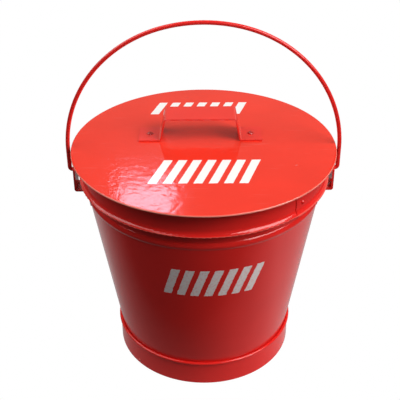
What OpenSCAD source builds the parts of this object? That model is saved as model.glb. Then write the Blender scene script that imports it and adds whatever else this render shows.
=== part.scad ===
// Lidded fire bucket in painted sheet steel, with a swinging wire bail.
// Millimetres, +Z up, floor at z = 0, front towards -Y, bail pivots along X.

/* [Bucket] */
// Height of the rolled rim above the floor
bucket_h = 278.8; // [230:0.1:340]
// Outside radius of the wall just under the rim
mouth_r = 141; // [115:0.1:172]
// Angle of the wall from upright, in degrees
taper = 9.1; // [5:0.1:11]
// Thickness of the bucket's sheet
sheet = 0.9; // [0.6:0.05:1.2]
// Diameter of the wire inside the rolled rim
rim_wire_d = 3; // [2:0.1:4]
// Distance from the rim down to the swaged bead
bead_drop = 44.4; // [40:0.1:56]
// Height of the swaged bead
bead_w = 9.6; // [8:0.1:12]
// How far the swaged bead stands out
bead_out = 1.8; // [1:0.1:2.2]

/* [Foot] */
// Height of the foot ring's rolled edge
foot_h = 32; // [26:0.5:42]
// Diameter of the foot ring's rolled edge
foot_bead_d = 3.8; // [3:0.1:4.6]
// Height of the bottom plate above the floor
floor_gap = 12; // [9:0.5:16]

/* [Lid] */
// How far the skirt comes down over the rim
skirt_drop = 31.7; // [26:0.1:36]
// How far the lid's disc reaches past the skirt
lid_reach = 12.5; // [10:0.1:17]
// Thickness of the disc's sheet
disc_t = 1.2; // [0.8:0.1:1.6]
// How far the skirt's lower lip flares out
flare = 4.4; // [3.6:0.1:5.4]
// Where the skirt's lapped seam lies, in degrees from the front
seam_az = 44; // [20:1:70]

/* [Lid handle] */
// Width of the handle's strap
strap_w = 35.5; // [28:0.5:44]
// Thickness of the handle's strap
strap_t = 1.8; // [1.4:0.1:2.4]
// Distance from the middle to the end of each foot
strap_foot_x = 74.7; // [70:0.1:90]
// Distance from the middle to the foot of each leg
strap_leg_x = 48.2; // [42:0.1:54]
// How far each leg leans in over its height
strap_lean = 5.8; // [3:0.1:12]
// Height of the handle above the lid
strap_h = 29.8; // [24:0.1:38]
// How far the handle sits off the lid's middle, sideways
handle_x = -3.8; // [-12:0.1:12]
// How far the handle sits off the lid's middle, to the back
handle_y = 24.8; // [0:0.1:40]

/* [Bail and ears] */
// Diameter of the bail's wire
bail_d = 5; // [4:0.1:6]
// Length of the bail's straight legs above the pivots
bail_leg = 26.8; // [20:0.1:36]
// Radius of the bail's crown
crown_r = 180; // [150:1:220]
// Width of each ear
ear_w = 24; // [20:0.5:30]
// Thickness of each ear
ear_t = 2.5; // [2:0.1:3]
// Distance from the rim down to the pivots
pivot_drop = 30.6; // [26:0.1:36]
// Length of each ear's riveted leg
ear_leg = 22; // [20:0.5:34]

/* [Hidden] */
$fn = 96;

// Curved faces of two pieces that lie on each other stay this far apart
seat = 0.05;
// Radial play of a wire or rivet in its hole
play = 0.05;

// The wall is a cone from the foot up to the bead and an upright neck above it
bead_top = bucket_h - bead_drop;
bead_low = bead_top - bead_w;
function cone_r(z) = mouth_r - (bead_low - z) * tan(taper);
// Radius of the arc that gives the bead its height over its width
bead_arc = (pow(bead_w / 2, 2) + pow(bead_out, 2)) / (2 * bead_out);

// The rim: the sheet is curled outwards round the wire
curl_in = rim_wire_d / 2 + 0.03;
curl_out = curl_in + sheet;
rim_r = mouth_r + curl_in;
rim_z = bucket_h - curl_out;

// The foot: the wall's flange, the plate folded round it, the ring round both
plate_z = floor_gap;
flange_z = plate_z + sheet + 0.05;
ring_in = cone_r(foot_h) + seat + foot_bead_d / 2 - 1;
ring_t = 1;
plate_r = ring_in - seat;
flange_r = plate_r - sheet - 0.1;

// The lid slips over the rim with a little play and rests on it by its flange
skirt_in = rim_r + curl_out + 0.3;
skirt_t = 1;
lid_z = bucket_h + 0.3;
disc_z = lid_z + skirt_t;
lid_top = disc_z + disc_t;
lid_r = skirt_in + skirt_t + lid_reach;
hem_t = 1.4;
hem_w = 6;
lip_z = bucket_h - skirt_drop;
lap = 0.9;

// The ears stand off far enough for the skirt's lip to pass inside them, under the disc's edge
lip_r = skirt_in + skirt_t + flare;
ear_in = lip_r + 5;
ear_out = ear_in + ear_t;
pivot_z = bucket_h - pivot_drop;
web_z = bucket_h - bead_drop - bead_w - 1.6;
ear_bend = ear_t / 2 + 0.6;
ear_top = pivot_z + 9;
ear_rivet_z = [web_z - 9, web_z - 20];
ear_hole_r = bail_d / 2 + play;

// The bail: a crown arc between two shoulder arcs, upright legs, hooked ends. Its legs pass
// outside the disc's edge by bail_gap and stand off the ears.
hook_r = bail_d / 2 + 1;
bail_gap = 1.9;
bail_x = max(lid_r + bail_gap + bail_d / 2, ear_out + hook_r + 0.5);
crown_a = 14;
shoulder_r = (bail_x - crown_r * sin(crown_a)) / (1 - sin(crown_a));
shoulder_z = pivot_z + bail_leg;
bail_top = shoulder_z + shoulder_r * cos(crown_a) + crown_r * (1 - cos(crown_a));

// The handle's strap as a row of corners, and the angle it turns at each
foot_z = lid_top + strap_t / 2;
leg_run = [strap_lean, strap_h - strap_t];
leg_a = atan2(leg_run[1], leg_run[0]);
strap_bend = strap_t / 2 + 1.6;
strap_cut = strap_bend * tan(leg_a / 2);
handle_rivet_x = (strap_leg_x + strap_foot_x) / 2;
handle_rivet_d = 3.2;
ear_rivet_d = 4;
seam_rivet_d = 2.4;

// Where the two seam rivets sit, as [degrees from the front, height]
seam_rivets = [[seam_az + 2.6, lid_z - 9], [seam_az + 4.4, lid_z - 19.6]];
// Outside of the skirt where the shifted lap covers it
function lap_r(az) =
    lap * cos(az - seam_az) + sqrt(pow(skirt_in + skirt_t, 2) - pow(lap * sin(az - seam_az), 2));

// Ring sector between two radii, from angle a0 to a1 against the clock
module arc_band(r0, r1, a0, a1) {
    steps = ceil((a1 - a0) / 50);
    intersection() {
        difference() {
            circle(r1);
            circle(r0);
        }
        polygon(concat([[0, 0]], [for (k = [0 : steps])
            2 * r1 * [cos(a0 + (a1 - a0) * k / steps), sin(a0 + (a1 - a0) * k / steps)]]));
    }
}

// A bar bent flat in XY, from the origin along +Y. The first child is its section, the second a
// core that joins its steps, each [length, 0] or [radius, degrees], where a plus sign turns left.
// The steps lie nick apart, and the core bridges them.
module bent(steps, nick, i = 0) {
    if (i < len(steps)) {
        s = steps[i][0];
        a = steps[i][1];
        trim = a == 0 ? nick / 2 : nick / 2 / s * 180 / PI;
        if (a == 0) translate([0, trim, 0]) rotate([-90, 0, 0])
            linear_extrude(s - nick) children(0);
        else mirror([a > 0 ? 0 : 1, 0, 0]) translate([-s, 0, 0]) rotate([0, 0, trim])
            rotate_extrude(angle = abs(a) - 2 * trim) translate([s, 0]) children(0);
        translate(a == 0 ? [0, s, 0] : [sign(a) * s * (cos(a) - 1), s * sin(abs(a)), 0])
            rotate([0, 0, a]) {
                if (i < len(steps) - 1) rotate([-90, 0, 0]) linear_extrude(1.2, center = true)
                    children(1);
                bent(steps, nick, i + 1) {
                    children(0);
                    children(1);
                }
            }
    }
}

// Rivet along +Z: its head stands on z = 0, its tail is hammered over below the grip
module rivet(d, head_d, head_h, grip, tail_d, tail_h) {
    ball = (pow(head_d / 2, 2) + pow(head_h, 2)) / (2 * head_h);
    intersection() {
        translate([0, 0, head_h - ball]) sphere(ball);
        cylinder(h = head_h, d = head_d);
    }
    translate([0, 0, -grip]) cylinder(h = grip, d = d);
    if (tail_h > 0) translate([0, 0, -grip - tail_h]) cylinder(h = tail_h, d = tail_d);
}

// Frames: on the wall at height z facing out, and on the skirt facing out
module on_wall(z) {
    translate([cone_r(z), 0, z]) rotate([0, 90 + taper, 0]) children();
}
module on_skirt(az, r, z) {
    rotate([0, 0, az - 90]) translate([r, 0, z]) rotate([0, 90, 0]) children();
}

// Wall in one profile: flange, cone, swaged bead, neck and curled rim, with a seam at the back
module bucket_body() color("firebrick") difference() {
    union() {
        rotate_extrude() {
            polygon([[cone_r(flange_z) - sheet, flange_z], [flange_r, flange_z],
                     [flange_r, flange_z + sheet], [cone_r(flange_z + sheet), flange_z + sheet],
                     [cone_r(bead_low), bead_low], [cone_r(bead_low) - sheet, bead_low]]);
            intersection() {
                translate([mouth_r + bead_out - bead_arc, bead_low + bead_w / 2])
                    difference() {
                        circle(bead_arc);
                        circle(bead_arc - sheet);
                    }
                translate([mouth_r - 2 * sheet, bead_low]) square([4 * sheet + bead_out, bead_w]);
            }
            translate([mouth_r - sheet, bead_top]) square([sheet, rim_z - bead_top]);
            translate([rim_r, rim_z]) arc_band(curl_in, curl_out, -110, 180);
        }
        rotate([0, 0, 88.2]) rotate_extrude(angle = 3.6)
            polygon([[cone_r(foot_h + 3) - 0.4, foot_h + 3], [cone_r(foot_h + 3) + 0.9, foot_h + 3],
                     [cone_r(bead_low - 3) + 0.9, bead_low - 3], [cone_r(bead_low) - 0.4, bead_low]]);
    }
    for (m = [0, 1], z = ear_rivet_z) mirror([m, 0, 0])
        on_wall(z) translate([0, 0, -3]) cylinder(h = 6, d = ear_rivet_d + 0.2);
}

// Wire that stiffens the rim
module rim_wire() color("gray") translate([0, 0, rim_z])
    rotate_extrude() translate([rim_r, 0]) circle(d = rim_wire_d);

// Bottom plate: its edge is turned up and folded in over the wall's flange
module bottom_plate() color("brown") rotate_extrude() {
    translate([0, plate_z]) square([plate_r, sheet]);
    translate([plate_r - sheet, plate_z]) square([sheet, 3 * sheet + 0.15]);
    translate([cone_r(flange_z + 2 * sheet) + 0.2, flange_z + sheet + 0.05])
        square([plate_r - cone_r(flange_z + 2 * sheet) - 0.2, sheet]);
}

// Foot ring: upright wall, rolled upper edge against the bucket, small hem below
module foot_ring() color("indianred") rotate_extrude() {
    translate([ring_in, 0]) square([ring_t, foot_h]);
    translate([ring_in - 0.8, 0]) square([1, 3]);
    translate([ring_in + 1, foot_h]) circle(d = foot_bead_d);
}

// Ear: a strap bent twice, riveted to the wall and standing off for the lid, its top rounded
module ear() difference() {
    rise = web_z + ear_t / 2 - ear_leg;
    x0 = cone_r(rise) + (seat + ear_t / 2) / cos(taper);
    turn = 90 - taper;
    corner = x0 + ear_leg * tan(taper);
    cut = ear_bend * tan(turn / 2);
    rotate([90, 0, 0]) translate([x0, rise, 0]) rotate([0, 0, -taper])
        bent([[ear_leg / cos(taper) - cut, 0], [ear_bend, -turn],
              [ear_out - ear_t / 2 - corner - cut - ear_bend, 0], [ear_bend, 90],
              [ear_top - web_z - ear_t / 2 - ear_bend, 0]], 0.01) {
            square([ear_t, ear_w], center = true);
            square([ear_t - 0.2, ear_w - 0.2], center = true);
        }
    translate([ear_in - 1, 0, 0]) rotate([90, 0, 90]) linear_extrude(ear_t + 2) difference() {
        translate([-ear_w, ear_top - ear_w / 4]) square([2 * ear_w, ear_w]);
        translate([0, ear_top - 0.7 * ear_w]) circle(0.7 * ear_w);
    }
    translate([ear_in - 1, 0, pivot_z]) rotate([0, 90, 0]) cylinder(h = ear_t + 2, r = ear_hole_r);
    for (z = ear_rivet_z)
        on_wall(z) translate([0, 0, -1]) cylinder(h = ear_t + 2, d = ear_rivet_d + 0.2);
}
module right_ear() color("orangered") ear();
module left_ear() color("orangered") mirror([1, 0, 0]) ear();

module ear_rivets() for (z = ear_rivet_z)
    on_wall(z) translate([0, 0, seat + ear_t])
        rivet(ear_rivet_d, 8, 2.4, seat + ear_t + sheet + 0.08, 6.6, 1.2);
module right_ear_rivets() color("salmon") ear_rivets();
module left_ear_rivets() color("salmon") mirror([1, 0, 0]) ear_rivets();

// Bail: crown and shoulder arcs, straight legs, ends hooked through the ears and headed
module bail() color("red") {
    half = [[bail_x - hook_r - ear_in + 1.3, 0], [hook_r, 90], [bail_leg - hook_r, 0],
            [shoulder_r, 90 - crown_a]];
    rotate([90, 0, 0]) translate([ear_in - 1.3, pivot_z, 0]) rotate([0, 0, -90])
        bent(concat(half, [[crown_r, 2 * crown_a]], [for (k = [3 : -1 : 0]) half[k]]), 0.01) {
            circle(d = bail_d);
            circle(d = bail_d - 0.2);
        }
    for (m = [0, 1]) mirror([m, 0, 0]) translate([ear_in - 0.3, 0, pivot_z]) rotate([0, -90, 0])
        rotate_extrude() intersection() {
            translate([0, 2.2 - 5.7]) circle(5.7);
            square([4.5, 2.2]);
        }
}

// Lid's disc, with its edge hemmed under
module lid_disc() color("tomato") difference() {
    rotate_extrude() {
        translate([0, disc_z]) square([lid_r - (disc_t + hem_t) / 2, disc_t]);
        translate([lid_r - (disc_t + hem_t) / 2, lid_top - (disc_t + hem_t) / 2])
            intersection() {
                circle((disc_t + hem_t) / 2);
                translate([0, -5]) square(10);
            }
        translate([lid_r - hem_w, lid_top - disc_t - hem_t])
            square([hem_w - (disc_t + hem_t) / 2, hem_t + 0.1]);
    }
    for (s = [-1, 1]) translate([handle_x + s * handle_rivet_x, handle_y, disc_z - 1])
        cylinder(h = disc_t + 2, d = handle_rivet_d + 0.2);
}

// Lid's skirt: flange under the disc, upright wall, flared lip, and a lap at the seam
module skirt_profile() {
    mid = skirt_in + skirt_t / 2;
    bend = 6;
    a = 66;
    run = (flare + skirt_t / 2 - bend * (1 - cos(a)) - skirt_t / 2) / sin(a);
    z0 = lip_z + skirt_t / 2 + run * cos(a) + bend * sin(a);
    translate([skirt_in, z0]) square([skirt_t, disc_z - z0 - 0.02]);
    translate([mid + bend, z0]) arc_band(bend - skirt_t / 2, bend + skirt_t / 2, 180, 180 + a);
    translate([mid + bend * (1 - cos(a)), z0 - bend * sin(a)]) rotate(a - 90) {
        translate([0, -skirt_t / 2]) square([run, skirt_t]);
        translate([run, 0]) circle(d = skirt_t);
    }
}
module lid_skirt() color("darkred") difference() {
    union() {
        rotate_extrude() {
            skirt_profile();
            translate([skirt_in - 12.5, disc_z - skirt_t]) square([13, skirt_t - 0.02]);
        }
        intersection() {
            translate([lap * sin(seam_az), -lap * cos(seam_az), 0]) rotate_extrude() skirt_profile();
            rotate([0, 0, seam_az - 90]) linear_extrude(lid_top)
                polygon([[0, 0], [400, 0], [400, 400], [400 * cos(87), 400 * sin(87)]]);
        }
    }
    for (r = seam_rivets) on_skirt(r[0], skirt_in - 3, r[1]) cylinder(h = 9, d = seam_rivet_d + 0.2);
}

// Rivets of the skirt's lap, flush inside so that they clear the rim
module skirt_seam_rivets() color("salmon") for (r = seam_rivets)
    on_skirt(r[0], lap_r(r[0]), r[1])
        rivet(seam_rivet_d, 5.4, 1.8, lap_r(r[0]) - skirt_in - 0.02, 0, 0);

// Lid's handle: one strap, bent up, over and down again
module lid_handle() color("coral") translate([handle_x, handle_y, 0]) difference() {
    half = [[strap_foot_x - strap_leg_x - strap_cut, 0], [strap_bend, leg_a],
            [norm(leg_run) - 2 * strap_cut, 0], [strap_bend, -leg_a]];
    rotate([90, 0, 0]) translate([-strap_foot_x, foot_z, 0]) rotate([0, 0, -90])
        bent(concat(half, [[2 * (strap_leg_x - strap_lean - strap_cut), 0]],
                    [for (k = [3 : -1 : 0]) half[k]]), 0.01) {
            square([strap_t, strap_w], center = true);
            square([strap_t - 0.2, strap_w - 0.2], center = true);
        }
    for (s = [-1, 1]) translate([s * handle_rivet_x, 0, lid_top - 1])
        cylinder(h = strap_t + 2, d = handle_rivet_d + 0.2);
}

module handle_rivet(side)
    translate([handle_x + side * handle_rivet_x, handle_y, lid_top + strap_t])
        rivet(handle_rivet_d, 7.4, 2.4, strap_t + disc_t + 0.02, 5.4, 0.8);
module right_handle_rivet() color("salmon") handle_rivet(1);
module left_handle_rivet() color("salmon") handle_rivet(-1);

bucket_body();
rim_wire();
bottom_plate();
foot_ring();
left_ear();
right_ear();
left_ear_rivets();
right_ear_rivets();
bail();
lid_disc();
lid_skirt();
skirt_seam_rivets();
lid_handle();
left_handle_rivet();
right_handle_rivet();
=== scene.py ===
"""Lidded fire bucket: sheet steel under gloss red enamel, with a wire bail and a strap handle."""
import math

import bpy
from mathutils import Matrix, Vector


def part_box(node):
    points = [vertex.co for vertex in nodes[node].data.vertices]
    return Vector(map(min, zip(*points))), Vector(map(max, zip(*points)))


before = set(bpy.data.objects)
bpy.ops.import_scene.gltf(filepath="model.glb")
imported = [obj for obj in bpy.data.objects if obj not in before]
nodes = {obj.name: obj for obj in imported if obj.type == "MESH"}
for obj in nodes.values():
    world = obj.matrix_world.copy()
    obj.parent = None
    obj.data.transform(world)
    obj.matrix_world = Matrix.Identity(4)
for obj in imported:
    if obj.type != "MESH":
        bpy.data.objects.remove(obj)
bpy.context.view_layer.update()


# Bucket wall
# One sheet of mild steel, rolled to a cone, swaged with a bead below the lid and sprayed with
# gloss enamel. A row of white bars is dabbed on its front through a stencil, with a dry brush.
ENAMEL_RED = "#E72722"
ENAMEL_IOR = 1.5
CLOUD_DARK, CLOUD_LIGHT = 0.95, 1.04
WALL_WHITE = "#F1E4E2"
WALL_BARS_Z = 0.1725
WALL_BARS_TURN = math.radians(4.5)
WALL_BARS_RADIUS = 0.1326
WALL_BARS_LONG = 0.114
WALL_BARS_TALL = 0.040
BARS_IN_ROW = 7
BAR_LEAN = -0.32
BAR_HALF_WIDTH = 0.30
BAR_EDGE_SOFT = 0.0003
DRY_COVER = 0.78
# Marks per metre: clouds of tone 70 mm wide, waves of the sheet 55 mm long, torn grains 4 mm wide
# along a stencilled edge, and bristle marks, really under 1 mm, drawn 2.4 mm wide so that they
# show.
CLOUDS_PER_M = 14.0
WAVES_PER_M = 18.0
GRAINS_PER_M = 240.0
BRISTLES_PER_M = 420.0


def linear(colour):
    """An sRGB hex colour as linear red, green, blue and alpha 1."""
    parts = [int(colour[i:i + 2], 16) / 255 for i in (1, 3, 5)]
    return [p / 12.92 if p <= 0.04045 else ((p + 0.055) / 1.055) ** 2.4 for p in parts] + [1]


def add(tree, kind, inputs, **settings):
    """Adds one node, sets its settings, and links or sets each input."""
    node = tree.nodes.new(kind)
    for name, value in settings.items():
        setattr(node, name, value)
    for key, value in inputs.items():
        if isinstance(value, bpy.types.NodeSocket):
            tree.links.new(value, node.inputs[key])
        else:
            node.inputs[key].default_value = value
    return node


def empty_material(name):
    """A new material and its node tree, with nothing in it yet."""
    material = bpy.data.materials.new(name)
    material.use_nodes = True
    material.node_tree.nodes.clear()
    return material, material.node_tree


def gloss_enamel(name, peel, peel_height, roughness, wave_height=0.0, colour=ENAMEL_RED):
    """Sprayed gloss enamel on steel: a saturated red under a smooth, slightly rippled film.

    The red drifts by a few percent from cloud to cloud, as hand spraying leaves it. peel is the
    width of one dimple of the orange peel and peel_height its depth, which breaks up highlights.
    wave_height is the unevenness of the sheet under it, which bends them. Returns the material,
    its tree, its shader, the red, and the object coordinates.
    """
    material, tree = empty_material(name)
    place = add(tree, "ShaderNodeTexCoord", {}).outputs["Object"]
    clouds = add(tree, "ShaderNodeTexNoise", {"Vector": place, "Scale": CLOUDS_PER_M,
                                              "Detail": 2.0})
    tone = add(tree, "ShaderNodeMapRange", {
        "Value": clouds.outputs["Fac"], "From Min": 0.3, "From Max": 0.7,
        "To Min": CLOUD_DARK, "To Max": CLOUD_LIGHT})
    red = add(tree, "ShaderNodeVectorMath", {0: linear(colour)[:3], "Scale": tone.outputs[0]},
              operation="SCALE")
    waves = add(tree, "ShaderNodeTexNoise", {"Vector": place, "Scale": WAVES_PER_M,
                                             "Detail": 1.0})
    sheet = add(tree, "ShaderNodeBump", {"Height": waves.outputs["Fac"], "Distance": wave_height})
    skin = add(tree, "ShaderNodeTexNoise", {"Vector": place, "Scale": 1 / peel, "Detail": 2.0})
    film = add(tree, "ShaderNodeBump", {"Height": skin.outputs["Fac"], "Distance": peel_height,
                                        "Normal": sheet.outputs[0]})
    shader = add(tree, "ShaderNodeBsdfPrincipled", {
        "Base Color": red.outputs[0], "Roughness": roughness, "IOR": ENAMEL_IOR,
        "Normal": film.outputs[0]})
    add(tree, "ShaderNodeOutputMaterial", {"Surface": shader.outputs[0]})
    return material, tree, shader, red.outputs[0], place


def stencil_bars(tree, along, up, long, tall, ragged):
    """A mask of slanted bars in a row long by tall, centred where along and up are 0.

    along is sheared by up and folded into one cell per bar. The distance past each side, past
    the row's ends and past its top is taken, the largest wins, noise shakes it by up to ragged,
    and the mask is 1 where it is below 0.
    """
    pitch = long / BARS_IN_ROW
    sheared = add(tree, "ShaderNodeMath", {0: up, 1: BAR_LEAN, 2: along},
                  operation="MULTIPLY_ADD")
    cell = add(tree, "ShaderNodeMath", {0: sheared.outputs[0], 1: 1 / pitch, 2: BARS_IN_ROW / 2},
               operation="MULTIPLY_ADD")
    folded = add(tree, "ShaderNodeMath", {0: cell.outputs[0]}, operation="FRACT")
    middle = add(tree, "ShaderNodeMath", {0: folded.outputs[0], 1: 0.5}, operation="SUBTRACT")
    away = add(tree, "ShaderNodeMath", {0: middle.outputs[0]}, operation="ABSOLUTE")
    side = add(tree, "ShaderNodeMath", {0: away.outputs[0], 1: pitch, 2: -BAR_HALF_WIDTH * pitch},
               operation="MULTIPLY_ADD")
    reach = add(tree, "ShaderNodeMath", {0: sheared.outputs[0]}, operation="ABSOLUTE")
    ends = add(tree, "ShaderNodeMath", {0: reach.outputs[0], 1: long / 2}, operation="SUBTRACT")
    height = add(tree, "ShaderNodeMath", {0: up}, operation="ABSOLUTE")
    top = add(tree, "ShaderNodeMath", {0: height.outputs[0], 1: tall / 2}, operation="SUBTRACT")
    outer = add(tree, "ShaderNodeMath", {0: ends.outputs[0], 1: top.outputs[0]},
                operation="MAXIMUM")
    edge = add(tree, "ShaderNodeMath", {0: side.outputs[0], 1: outer.outputs[0]},
               operation="MAXIMUM")
    flat = add(tree, "ShaderNodeCombineXYZ", {0: along, 1: up})
    grain = add(tree, "ShaderNodeTexNoise", {"Vector": flat.outputs[0], "Scale": GRAINS_PER_M,
                                             "Detail": 3.0, "Roughness": 0.7})
    shaken = add(tree, "ShaderNodeMath", {
        0: grain.outputs["Fac"], 1: 2 * ragged, 2: edge.outputs[0]}, operation="MULTIPLY_ADD")
    return add(tree, "ShaderNodeMapRange", {
        "Value": shaken.outputs[0], "From Min": ragged + BAR_EDGE_SOFT,
        "From Max": ragged - BAR_EDGE_SOFT}, interpolation_type="SMOOTHSTEP").outputs[0]


def paint(node, material):
    """Gives a CAD node one material on all its slots."""
    mesh = nodes[node].data
    mesh.materials.clear()
    mesh.materials.append(material)


# The eye sees a deep, even red that mirrors the room in soft, slightly broken bands, and on it a
# torn-edged white that lets a little red through.
wall_paint, tree, shader, red, place = gloss_enamel(
    "gloss_red_enamel_on_wall", peel=0.006, peel_height=0.00004, roughness=0.16)
parts = add(tree, "ShaderNodeSeparateXYZ", {0: place})
front = add(tree, "ShaderNodeMath", {0: parts.outputs[1], 1: -1.0}, operation="MULTIPLY")
turn = add(tree, "ShaderNodeMath", {0: parts.outputs[0], 1: front.outputs[0]},
           operation="ARCTAN2")
along = add(tree, "ShaderNodeMath", {
    0: turn.outputs[0], 1: WALL_BARS_RADIUS, 2: -WALL_BARS_TURN * WALL_BARS_RADIUS},
    operation="MULTIPLY_ADD")
up = add(tree, "ShaderNodeMath", {0: parts.outputs[2], 1: WALL_BARS_Z}, operation="SUBTRACT")
bars = stencil_bars(tree, along.outputs[0], up.outputs[0], WALL_BARS_LONG, WALL_BARS_TALL,
                    ragged=0.0012)
bristles = add(tree, "ShaderNodeTexNoise", {"Vector": place, "Scale": BRISTLES_PER_M,
                                            "Detail": 3.0})
cover = add(tree, "ShaderNodeMapRange", {"Value": bristles.outputs["Fac"], "From Min": 0.36,
                                         "From Max": 0.5, "To Min": DRY_COVER, "To Max": 1.0})
dry = add(tree, "ShaderNodeMath", {0: bars, 1: cover.outputs[0]}, operation="MULTIPLY")
colour = add(tree, "ShaderNodeMix", {"Factor": dry.outputs[0], 6: red, 7: linear(WALL_WHITE)},
             data_type="RGBA")
tree.links.new(colour.outputs[2], shader.inputs["Base Color"])
paint("bucket_body", wall_paint)


# Rim wire and bottom plate
# The wire is drawn mild steel, bare, rolled into the rim's curl. The plate is a sheet steel disc
# under the wall's enamel, folded round the wall's lower flange.
WIRE_GREY = "#8C8780"
WIRE_ROUGH_LEAST, WIRE_ROUGH_MOST = 0.3, 0.5
# Marks of the drawing die, really far finer, drawn 1 mm wide so that they show.
DIE_MARKS_PER_M = 900.0
# The eye sees a warm grey with a dull shine that varies along it.
wire_steel, tree = empty_material("drawn_steel_wire")
place = add(tree, "ShaderNodeTexCoord", {}).outputs["Object"]
drawn = add(tree, "ShaderNodeTexNoise", {"Vector": place, "Scale": DIE_MARKS_PER_M})
dull = add(tree, "ShaderNodeMapRange", {
    "Value": drawn.outputs["Fac"], "To Min": WIRE_ROUGH_LEAST, "To Max": WIRE_ROUGH_MOST})
steel = add(tree, "ShaderNodeBsdfPrincipled", {
    "Base Color": linear(WIRE_GREY), "Metallic": 1.0, "Roughness": dull.outputs[0]})
add(tree, "ShaderNodeOutputMaterial", {"Surface": steel.outputs[0]})
paint("rim_wire", wire_steel)
# The plate's film is thin and rubbed, so its highlights are softer than the wall's.
plate_paint, *_ = gloss_enamel(
    "gloss_red_enamel_on_bottom", peel=0.004, peel_height=0.00003, roughness=0.24)
paint("bottom_plate", plate_paint)


# Foot ring
# A steel band round the foot, its upper edge rolled into a bead, sprayed with the wall. A drip of
# enamel has dried near its lower edge at the left front.
DRIP_HIGHLIGHT_RED = "#FF6A5E"
DRIP_PLACE = (-0.0843, -0.0743, 0.0045)
DRIP_RADIUS, DRIP_TOP_RADIUS = 0.0026, 0.0006
DRIP_HEIGHT = 0.0012
# The gloss draws a bright line along the bead. The drip is thick and raised, and painted paler as
# a highlight.
ring_paint, tree, shader, red, place = gloss_enamel(
    "gloss_red_enamel_on_foot_ring", peel=0.005, peel_height=0.00005, roughness=0.16)
gap = add(tree, "ShaderNodeVectorMath", {0: place, 1: DRIP_PLACE}, operation="DISTANCE")
drip = add(tree, "ShaderNodeMapRange", {
    "Value": gap.outputs["Value"], "From Min": DRIP_RADIUS, "From Max": DRIP_TOP_RADIUS},
    interpolation_type="SMOOTHSTEP")
bead = add(tree, "ShaderNodeBump", {"Height": drip.outputs[0], "Distance": DRIP_HEIGHT,
                                    "Normal": shader.inputs["Normal"].links[0].from_socket})
tree.links.new(bead.outputs[0], shader.inputs["Normal"])
# The drip's paler colour is a painted highlight on the raised drip.
drip_highlight = add(tree, "ShaderNodeMix", {"Factor": drip.outputs[0], 6: red, 7: linear(DRIP_HIGHLIGHT_RED)},
            data_type="RGBA")
tree.links.new(drip_highlight.outputs[2], shader.inputs["Base Color"])
paint("foot_ring", ring_paint)


# Ears and bail
# Flat steel straps, bent cold and riveted on, and a bent steel wire hooked through them, all
# sprayed in place.
# The straps' small flats and bends give the eye short, soft highlights.
strap_paint, *_ = gloss_enamel(
    "gloss_red_enamel_on_ears", peel=0.0024, peel_height=0.00004, roughness=0.24)
for node in ("left_ear", "right_ear", "left_ear_rivets", "right_ear_rivets"):
    paint(node, strap_paint)
# The wire's film is thin and rubbed by hands: one blurred highlight along its whole length.
wire_paint, *_ = gloss_enamel(
    "gloss_red_enamel_on_bail", peel=0.008, peel_height=0.00001, roughness=0.3)
paint("bail", wire_paint)


# Lid
# A flat steel disc with its edge hemmed under, over a skirt with a flared lip and a lapped,
# riveted seam. It was sprayed lying flat, so its film is thick. White bars are stencilled on it
# in front of and behind the handle, in full paint.
LID_RED = "#EC3524"
LID_WHITE = "#F6F3EF"
SCUFF_PINK = "#F2857C"
SCUFF_AMOUNT = 0.15
# A pale pink line along the disc's hemmed edge and along the skirt's lip is a painted highlight.
EDGE_HIGHLIGHT_PINK = "#FFB09E"
EDGE_STARTS, EDGE_FULL = 0.0011, 0.0002
DISC_RADIUS, DISC_EDGE_HIGHLIGHT = 0.15876, 0.5
LIP_RADIUS, LIP_EDGE_HIGHLIGHT = 0.15066, 0.2
# Each row of bars: its middle's x and y, its length and its height.
FRONT_BARS = (0.0015, -0.0655, 0.119, 0.053)
REAR_BARS = (-0.005, 0.0995, 0.121, 0.034)
# Dust nibs, one in every seven cells of 18 mm. Their radii are shares of a cell: 1.8 mm at the
# foot and 0.5 mm at the top.
NIB_CELLS_PER_M = 55.0
NIB_FOOT, NIB_TOP = 0.10, 0.03
CELLS_WITHOUT_NIB = 0.86
NIB_HEIGHT = 0.0004
# Wiping scuffs lie along X: 45 mm long, and really hair-fine, but drawn 2.4 mm wide so that they
# show.
SCUFFS_PER_M = (22.0, 420.0, 1.0)


def painted_edge_highlight(tree, shader, place, radius, amount):
    """Paints a highlight along a round edge as a pale pink line.

    The distance from the upright middle line is taken, and the colour goes to a pale pink by up
    to amount over the last millimetre inside the radius.
    """
    parts = add(tree, "ShaderNodeSeparateXYZ", {0: place})
    flat = add(tree, "ShaderNodeCombineXYZ", {0: parts.outputs[0], 1: parts.outputs[1]})
    out = add(tree, "ShaderNodeVectorMath", {0: flat.outputs[0]}, operation="LENGTH")
    edge = add(tree, "ShaderNodeMapRange", {
        "Value": out.outputs["Value"], "From Min": radius - EDGE_STARTS,
        "From Max": radius - EDGE_FULL, "To Min": 0.0, "To Max": amount})
    under = shader.inputs["Base Color"].links[0].from_socket
    # The pink over the edge is a painted highlight.
    pale = add(tree, "ShaderNodeMix", {"Factor": edge.outputs[0], 6: under, 7: linear(EDGE_HIGHLIGHT_PINK)},
               data_type="RGBA")
    tree.links.new(pale.outputs[2], shader.inputs["Base Color"])


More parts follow.
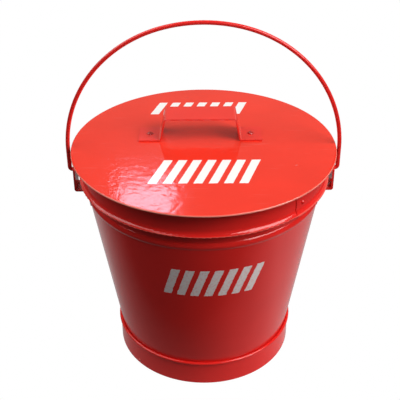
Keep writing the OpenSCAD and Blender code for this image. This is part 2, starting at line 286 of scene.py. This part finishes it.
# The eye sees a bright, slightly orange red. The thick film's coarse peel breaks the window's
# glare into ripples, with small sparks where the nibs are.
lid_paint, tree, shader, red, place = gloss_enamel(
    "gloss_red_enamel_on_lid", peel=0.008, peel_height=0.00014, roughness=0.1,
    wave_height=0.0002, colour=LID_RED)
grit = add(tree, "ShaderNodeTexVoronoi", {"Vector": place, "Scale": NIB_CELLS_PER_M})
lump = add(tree, "ShaderNodeMapRange", {"Value": grit.outputs["Distance"], "From Min": NIB_FOOT,
                                        "From Max": NIB_TOP})
pick = add(tree, "ShaderNodeSeparateColor", {0: grit.outputs["Color"]})
few = add(tree, "ShaderNodeMath", {0: pick.outputs[0], 1: CELLS_WITHOUT_NIB},
          operation="GREATER_THAN")
nibs = add(tree, "ShaderNodeMath", {0: lump.outputs[0], 1: few.outputs[0]}, operation="MULTIPLY")
dusty = add(tree, "ShaderNodeBump", {"Height": nibs.outputs[0], "Distance": NIB_HEIGHT,
                                     "Normal": shader.inputs["Normal"].links[0].from_socket})
tree.links.new(dusty.outputs[0], shader.inputs["Normal"])
stretch = add(tree, "ShaderNodeVectorMath", {0: place, 1: SCUFFS_PER_M}, operation="MULTIPLY")
wiped = add(tree, "ShaderNodeTexNoise", {"Vector": stretch.outputs[0], "Scale": 1.0,
                                         "Detail": 2.0})
scuff = add(tree, "ShaderNodeMapRange", {
    "Value": wiped.outputs["Fac"], "From Min": 0.66, "From Max": 0.74, "To Min": 0.0,
    "To Max": SCUFF_AMOUNT})
worn = add(tree, "ShaderNodeMix", {"Factor": scuff.outputs[0], 6: red, 7: linear(SCUFF_PINK)},
           data_type="RGBA")
parts = add(tree, "ShaderNodeSeparateXYZ", {0: place})
colour = worn.outputs[2]
for mid_x, mid_y, long, tall in (FRONT_BARS, REAR_BARS):
    along = add(tree, "ShaderNodeMath", {0: parts.outputs[0], 1: mid_x}, operation="SUBTRACT")
    up = add(tree, "ShaderNodeMath", {0: parts.outputs[1], 1: mid_y}, operation="SUBTRACT")
    bars = stencil_bars(tree, along.outputs[0], up.outputs[0], long, tall, ragged=0.0006)
    colour = add(tree, "ShaderNodeMix", {"Factor": bars, 6: colour, 7: linear(LID_WHITE)},
                 data_type="RGBA").outputs[2]
tree.links.new(colour, shader.inputs["Base Color"])
painted_edge_highlight(tree, shader, place, DISC_RADIUS, DISC_EDGE_HIGHLIGHT)
paint("lid_disc", lid_paint)
# The skirt mirrors the room like the wall, with a faint painted highlight along its lip.
skirt_paint, tree, shader, red, place = gloss_enamel(
    "gloss_red_enamel_on_skirt", peel=0.005, peel_height=0.00004, roughness=0.14)
painted_edge_highlight(tree, shader, place, LIP_RADIUS, LIP_EDGE_HIGHLIGHT)
for node in ("lid_skirt", "skirt_seam_rivets"):
    paint(node, skirt_paint)


# Lid handle
# One steel strap bent up, over and down again, with a rivet through each foot, sprayed with the
# lid. Painted shade darkens the two rivet heads and a ring round each.
HANDLE_RED = "#EE3229"
RIVET_SHADE_RED = "#6E1210"
SHADE_OUTSIDE, SHADE_INSIDE = 0.0012, 0.0008
SHADE_AMOUNT = 0.6
# The eye sees the lid's bright gloss with a finer peel, and painted shade on and round each rivet
# head.
handle_paint, tree, shader, red, place = gloss_enamel(
    "gloss_red_enamel_on_handle", peel=0.005, peel_height=0.00004, roughness=0.12,
    colour=HANDLE_RED)
flat = add(tree, "ShaderNodeVectorMath", {0: place, 1: (1, 1, 0)}, operation="MULTIPLY")
colour = red
for node in ("left_handle_rivet", "right_handle_rivet"):
    low, high = (Vector(corner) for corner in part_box(node))
    middle = (low + high) / 2
    head = (high.x - low.x) / 2
    gap = add(tree, "ShaderNodeVectorMath", {0: flat.outputs[0], 1: (middle.x, middle.y, 0)},
              operation="DISTANCE")
    # Painted shade: darkest over each rivet head, fading out 1.2 mm beyond its edge.
    rivet_shade = add(tree, "ShaderNodeMapRange", {
        "Value": gap.outputs["Value"], "From Min": head + SHADE_OUTSIDE,
        "From Max": head - SHADE_INSIDE, "To Min": 0.0, "To Max": SHADE_AMOUNT})
    colour = add(tree, "ShaderNodeMix", {
        "Factor": rivet_shade.outputs[0], 6: colour, 7: linear(RIVET_SHADE_RED)},
        data_type="RGBA").outputs[2]
tree.links.new(colour, shader.inputs["Base Color"])
for node in ("lid_handle", "left_handle_rivet", "right_handle_rivet"):
    paint(node, handle_paint)


# Studio
# A white floor and a white room, a soft lamp on the right, a larger one on the left, and a small
# window behind that shows in the lid. The camera's side of the room is dark, so the enamel that
# faces it stays deep, and a white sheet under and behind the bucket shows in its sides.
WHITE = (1, 1, 1, 1)
WARM_WHITE = "#FFE9D8"
FLOOR_SIDE = 12
# How much light the floor throws back, and how bright gloss and glass see it: off the sheet, and
# on it.
FLOOR_GREY, SHEET_GREY = 0.08, 0.85
FLOOR_MIRRORED, SHEET_MIRRORED = 0.04, 0.5
# The sheet begins in a soft, slanted line under the bucket's front and fades out half a metre
# away.
SHEET_SLANT = 0.4
SHEET_FRONT, SHEET_WHOLE = -0.20, 0.02
SHEET_OUTER, SHEET_INNER = 0.54, 0.34
# The room's own light on the enamel, and how bright gloss and glass see the camera's side of it
# and the far side. High up that falls to half.
ROOM_LIGHT = 0.06
ROOM_NEAR, ROOM_FAR = 0.02, 0.75
ROOM_HIGH_SHARE = 0.5
scene = bpy.context.scene
scene.view_settings.view_transform = "Standard"


def ray_kinds(tree):
    """1 for a ray straight from the camera, and 1 for one that gloss or glass has sent on."""
    path = add(tree, "ShaderNodeLightPath", {})
    sent_on = add(tree, "ShaderNodeMath", {0: path.outputs["Is Glossy Ray"],
                                           1: path.outputs["Is Transmission Ray"]},
                  operation="MAXIMUM")
    return path.outputs["Is Camera Ray"], sent_on.outputs[0]


# The camera sees plain white paper. Its bounce and its mirror image are set apart from that.
bpy.ops.mesh.primitive_plane_add(size=FLOOR_SIDE)
floor = bpy.context.object
floor.name = "floor"
white_floor, tree = empty_material("white_floor")
straight, mirrored = ray_kinds(tree)
place = add(tree, "ShaderNodeTexCoord", {}).outputs["Object"]
parts = add(tree, "ShaderNodeSeparateXYZ", {0: place})
slant = add(tree, "ShaderNodeMath", {0: parts.outputs[0], 1: SHEET_SLANT, 2: parts.outputs[1]},
            operation="MULTIPLY_ADD")
depth = add(tree, "ShaderNodeMapRange", {"Value": slant.outputs[0], "From Min": SHEET_FRONT,
                                         "From Max": SHEET_WHOLE})
away = add(tree, "ShaderNodeVectorMath", {0: place}, operation="LENGTH")
reach = add(tree, "ShaderNodeMapRange", {"Value": away.outputs["Value"], "From Min": SHEET_OUTER,
                                         "From Max": SHEET_INNER})
sheet = add(tree, "ShaderNodeMath", {0: depth.outputs[0], 1: reach.outputs[0]},
            operation="MULTIPLY")
level = add(tree, "ShaderNodeMapRange", {"Value": sheet.outputs[0], "To Min": FLOOR_GREY,
                                         "To Max": SHEET_GREY})
grey = add(tree, "ShaderNodeBsdfDiffuse", {"Color": level.outputs[0]})
gleam = add(tree, "ShaderNodeMapRange", {"Value": sheet.outputs[0], "To Min": FLOOR_MIRRORED,
                                         "To Max": SHEET_MIRRORED})
sheen = add(tree, "ShaderNodeEmission", {"Color": WHITE, "Strength": gleam.outputs[0]})
lit = add(tree, "ShaderNodeMixShader", {0: mirrored, 1: grey.outputs[0], 2: sheen.outputs[0]})
glow = add(tree, "ShaderNodeEmission", {"Color": WHITE, "Strength": 1.0})
seen = add(tree, "ShaderNodeMixShader", {0: straight, 1: lit.outputs[0], 2: glow.outputs[0]})
add(tree, "ShaderNodeOutputMaterial", {"Surface": seen.outputs[0]})
floor.data.materials.append(white_floor)

world = bpy.data.worlds.new("white_room")
scene.world = world
world.use_nodes = True
tree = world.node_tree
tree.nodes.clear()
straight, mirrored = ray_kinds(tree)
heading = add(tree, "ShaderNodeTexCoord", {}).outputs["Generated"]
compass = add(tree, "ShaderNodeSeparateXYZ", {0: heading})
behind = add(tree, "ShaderNodeMapRange", {
    "Value": compass.outputs[1], "From Min": 0.1, "From Max": 0.9, "To Min": ROOM_NEAR,
    "To Max": ROOM_FAR})
high = add(tree, "ShaderNodeMapRange", {
    "Value": compass.outputs[2], "From Min": 0.2, "From Max": 0.5, "To Min": 1.0,
    "To Max": ROOM_HIGH_SHARE})
level = add(tree, "ShaderNodeMath", {0: behind.outputs[0], 1: high.outputs[0]},
            operation="MULTIPLY")
room = add(tree, "ShaderNodeBackground", {"Color": WHITE, "Strength": ROOM_LIGHT})
white_room = add(tree, "ShaderNodeBackground", {"Color": WHITE, "Strength": 1.0})
glossy_room = add(tree, "ShaderNodeBackground", {"Color": linear(WARM_WHITE),
                                                 "Strength": level.outputs[0]})
dim = add(tree, "ShaderNodeMixShader", {0: mirrored, 1: room.outputs[0],
                                        2: glossy_room.outputs[0]})
mix = add(tree, "ShaderNodeMixShader", {0: straight, 1: dim.outputs[0],
                                        2: white_room.outputs[0]})
add(tree, "ShaderNodeOutputWorld", {0: mix.outputs[0]})


def lamp(name, place, aim, size, watts):
    """A square area lamp at a place, turned to face its aim."""
    light = bpy.data.lights.new(name, "AREA")
    light.size = size
    light.energy = watts
    body = bpy.data.objects.new(name, light)
    body.location = place
    body.rotation_euler = (Vector(aim) - Vector(place)).to_track_quat("-Z", "Y").to_euler()
    scene.collection.objects.link(body)
    return light


BUCKET_MIDDLE = (0, 0, 0.2)
LID_FRONT_LEFT = (-0.06, -0.12, 0.281)
WINDOW_LILAC = (0.85, 0.78, 1.0)
lamp("right", (1.3, -0.72, 1.53), BUCKET_MIDDLE, size=1.4, watts=44)
lamp("left", (-1.3, 0.1, 1.72), BUCKET_MIDDLE, size=1.8, watts=29)
window = lamp("window", (-0.19, 1.58, 1.35), LID_FRONT_LEFT, size=0.19, watts=0.65)
window.shape = "RECTANGLE"
window.size_y = 0.13
window.color = WINDOW_LILAC


# Camera
# It stands where the photograph's did: 32 degrees above level and 1.05 m from its aim.
PITCH = math.radians(31.855)
ROLL = math.radians(-0.38)
AIM = Vector((-0.00471, 0, 0.20244))
REACH = 1.0503
FOCAL_PX = 840
FRAME_PX = 400
SENSOR_MM = 36
lens = bpy.data.cameras.new("photo_view")
lens.sensor_width = SENSOR_MM
lens.lens = FOCAL_PX / FRAME_PX * SENSOR_MM
lens.clip_start = 0.01
eye = bpy.data.objects.new("photo_view", lens)
back = Vector((0, -math.cos(PITCH), math.sin(PITCH)))
turned = Matrix.Rotation(math.pi / 2 - PITCH, 4, "X") @ Matrix.Rotation(ROLL, 4, "Z")
eye.matrix_world = Matrix.Translation(AIM + REACH * back) @ turned
scene.collection.objects.link(eye)
scene.camera = eye
